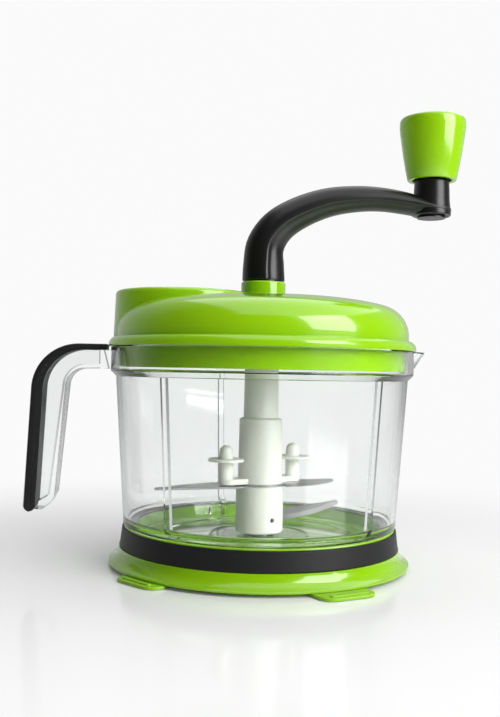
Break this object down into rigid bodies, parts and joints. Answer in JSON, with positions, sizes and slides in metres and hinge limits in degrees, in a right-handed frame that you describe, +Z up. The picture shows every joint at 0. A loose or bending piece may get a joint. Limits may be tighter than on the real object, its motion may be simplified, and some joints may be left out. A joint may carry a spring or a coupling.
{
  "type": "crank food chopper",
  "caption": "Hand-cranked food chopper: clear bowl with handle and spout on a suction base, green lid with filler neck and geared crank, turning blade unit.",
  "frame": {"origin": "centre of the suction foot on the table, on the axis of the bowl, crank and blades", "axes": "+Z up along the bowl axis, +X towards the pouring spout, handle at -X, front at -Y"},
  "size_m": [0.2408, 0.1728, 0.2495],
  "materials": {
    "green_plastic": "glossy moulded lime-green plastic",
    "soft_green": "soft satin lime-green rubber",
    "black_rubber": "satin black soft plastic",
    "black_plastic": "satin-gloss black plastic",
    "clear_plastic": "clear polished plastic",
    "white_plastic": "satin white plastic",
    "blade_steel": "ground stainless steel",
    "pin_steel": "turned steel"
  },
  "bodies": {
    "base": {"base_dish": "green_plastic", "grip_band": "black_rubber", "suction_cup": "soft_green", "cup_screw": "pin_steel"},
    "bowl": {"bowl": "clear_plastic", "handle_body": "clear_plastic", "handle_grip": "black_rubber", "pivot_pin": "pin_steel"},
    "lid": {"lid_shell": "green_plastic", "gear_cover": "white_plastic", "cover_screws": "pin_steel", "planet_pins": "pin_steel"},
    "cap": {"filler_cap": "green_plastic"},
    "crank": {"crank_arm": "black_plastic", "drive_gear": "white_plastic", "thrust_washer": "black_plastic", "crank_screw": "pin_steel", "knob_axle": "pin_steel", "axle_cap": "black_plastic"},
    "knob": {"knob": "green_plastic", "knob_cap": "green_plastic"},
    "planet_1": {"planet_gear_1": "white_plastic"},
    "planet_2": {"planet_gear_2": "white_plastic"},
    "planet_3": {"planet_gear_3": "white_plastic"},
    "spindle": {"sun_spindle": "white_plastic"},
    "blades": {"blade_column": "white_plastic", "blade_hub": "white_plastic", "upper_blade": "blade_steel", "lower_blade": "blade_steel", "blade_pin": "pin_steel", "stud_left": "white_plastic", "stud_right": "white_plastic"}
  },
  "joints": [
    {"name": "bowl_lift", "type": "slide", "parent": "base", "child": "bowl", "axis": [0, 0, 1], "range_m": [0, 0.06]},
    {"name": "lid_lift", "type": "slide", "parent": "bowl", "child": "lid", "axis": [0, 0, 1], "range_m": [0, 0.12]},
    {"name": "cap_lift", "type": "slide", "parent": "lid", "child": "cap", "axis": [0, 0, 1], "range_m": [0, 0.03]},
    {"name": "crank_spin", "type": "hinge", "parent": "lid", "child": "crank", "pos_m": [0, 0, 0.155], "axis": [0, 0, 1], "continuous": true},
    {"name": "planet_1_spin", "type": "hinge", "parent": "lid", "child": "planet_1", "pos_m": [0.012, 0, 0.134], "axis": [0, 0, 1], "continuous": true},
    {"name": "planet_2_spin", "type": "hinge", "parent": "lid", "child": "planet_2", "pos_m": [-0.006, 0.01039, 0.134], "axis": [0, 0, 1], "continuous": true},
    {"name": "planet_3_spin", "type": "hinge", "parent": "lid", "child": "planet_3", "pos_m": [-0.006, -0.01039, 0.134], "axis": [0, 0, 1], "continuous": true},
    {"name": "spindle_spin", "type": "hinge", "parent": "lid", "child": "spindle", "pos_m": [0, 0, 0.13], "axis": [0, 0, 1], "continuous": true},
    {"name": "blade_spin", "type": "hinge", "parent": "bowl", "child": "blades", "pos_m": [0, 0, 0.0166], "axis": [0, 0, 1], "continuous": true},
    {"name": "knob_spin", "type": "hinge", "parent": "crank", "child": "knob", "pos_m": [0.0948, 0, 0.2127], "axis": [0, 0, 1], "continuous": true}
  ],
  "couplings": [
    {"joint": "planet_1_spin", "follows": "crank_spin", "ratio": 3},
    {"joint": "planet_2_spin", "follows": "crank_spin", "ratio": 3},
    {"joint": "planet_3_spin", "follows": "crank_spin", "ratio": 3},
    {"joint": "spindle_spin", "follows": "crank_spin", "ratio": -3},
    {"joint": "blade_spin", "follows": "crank_spin", "ratio": -3}
  ]
}
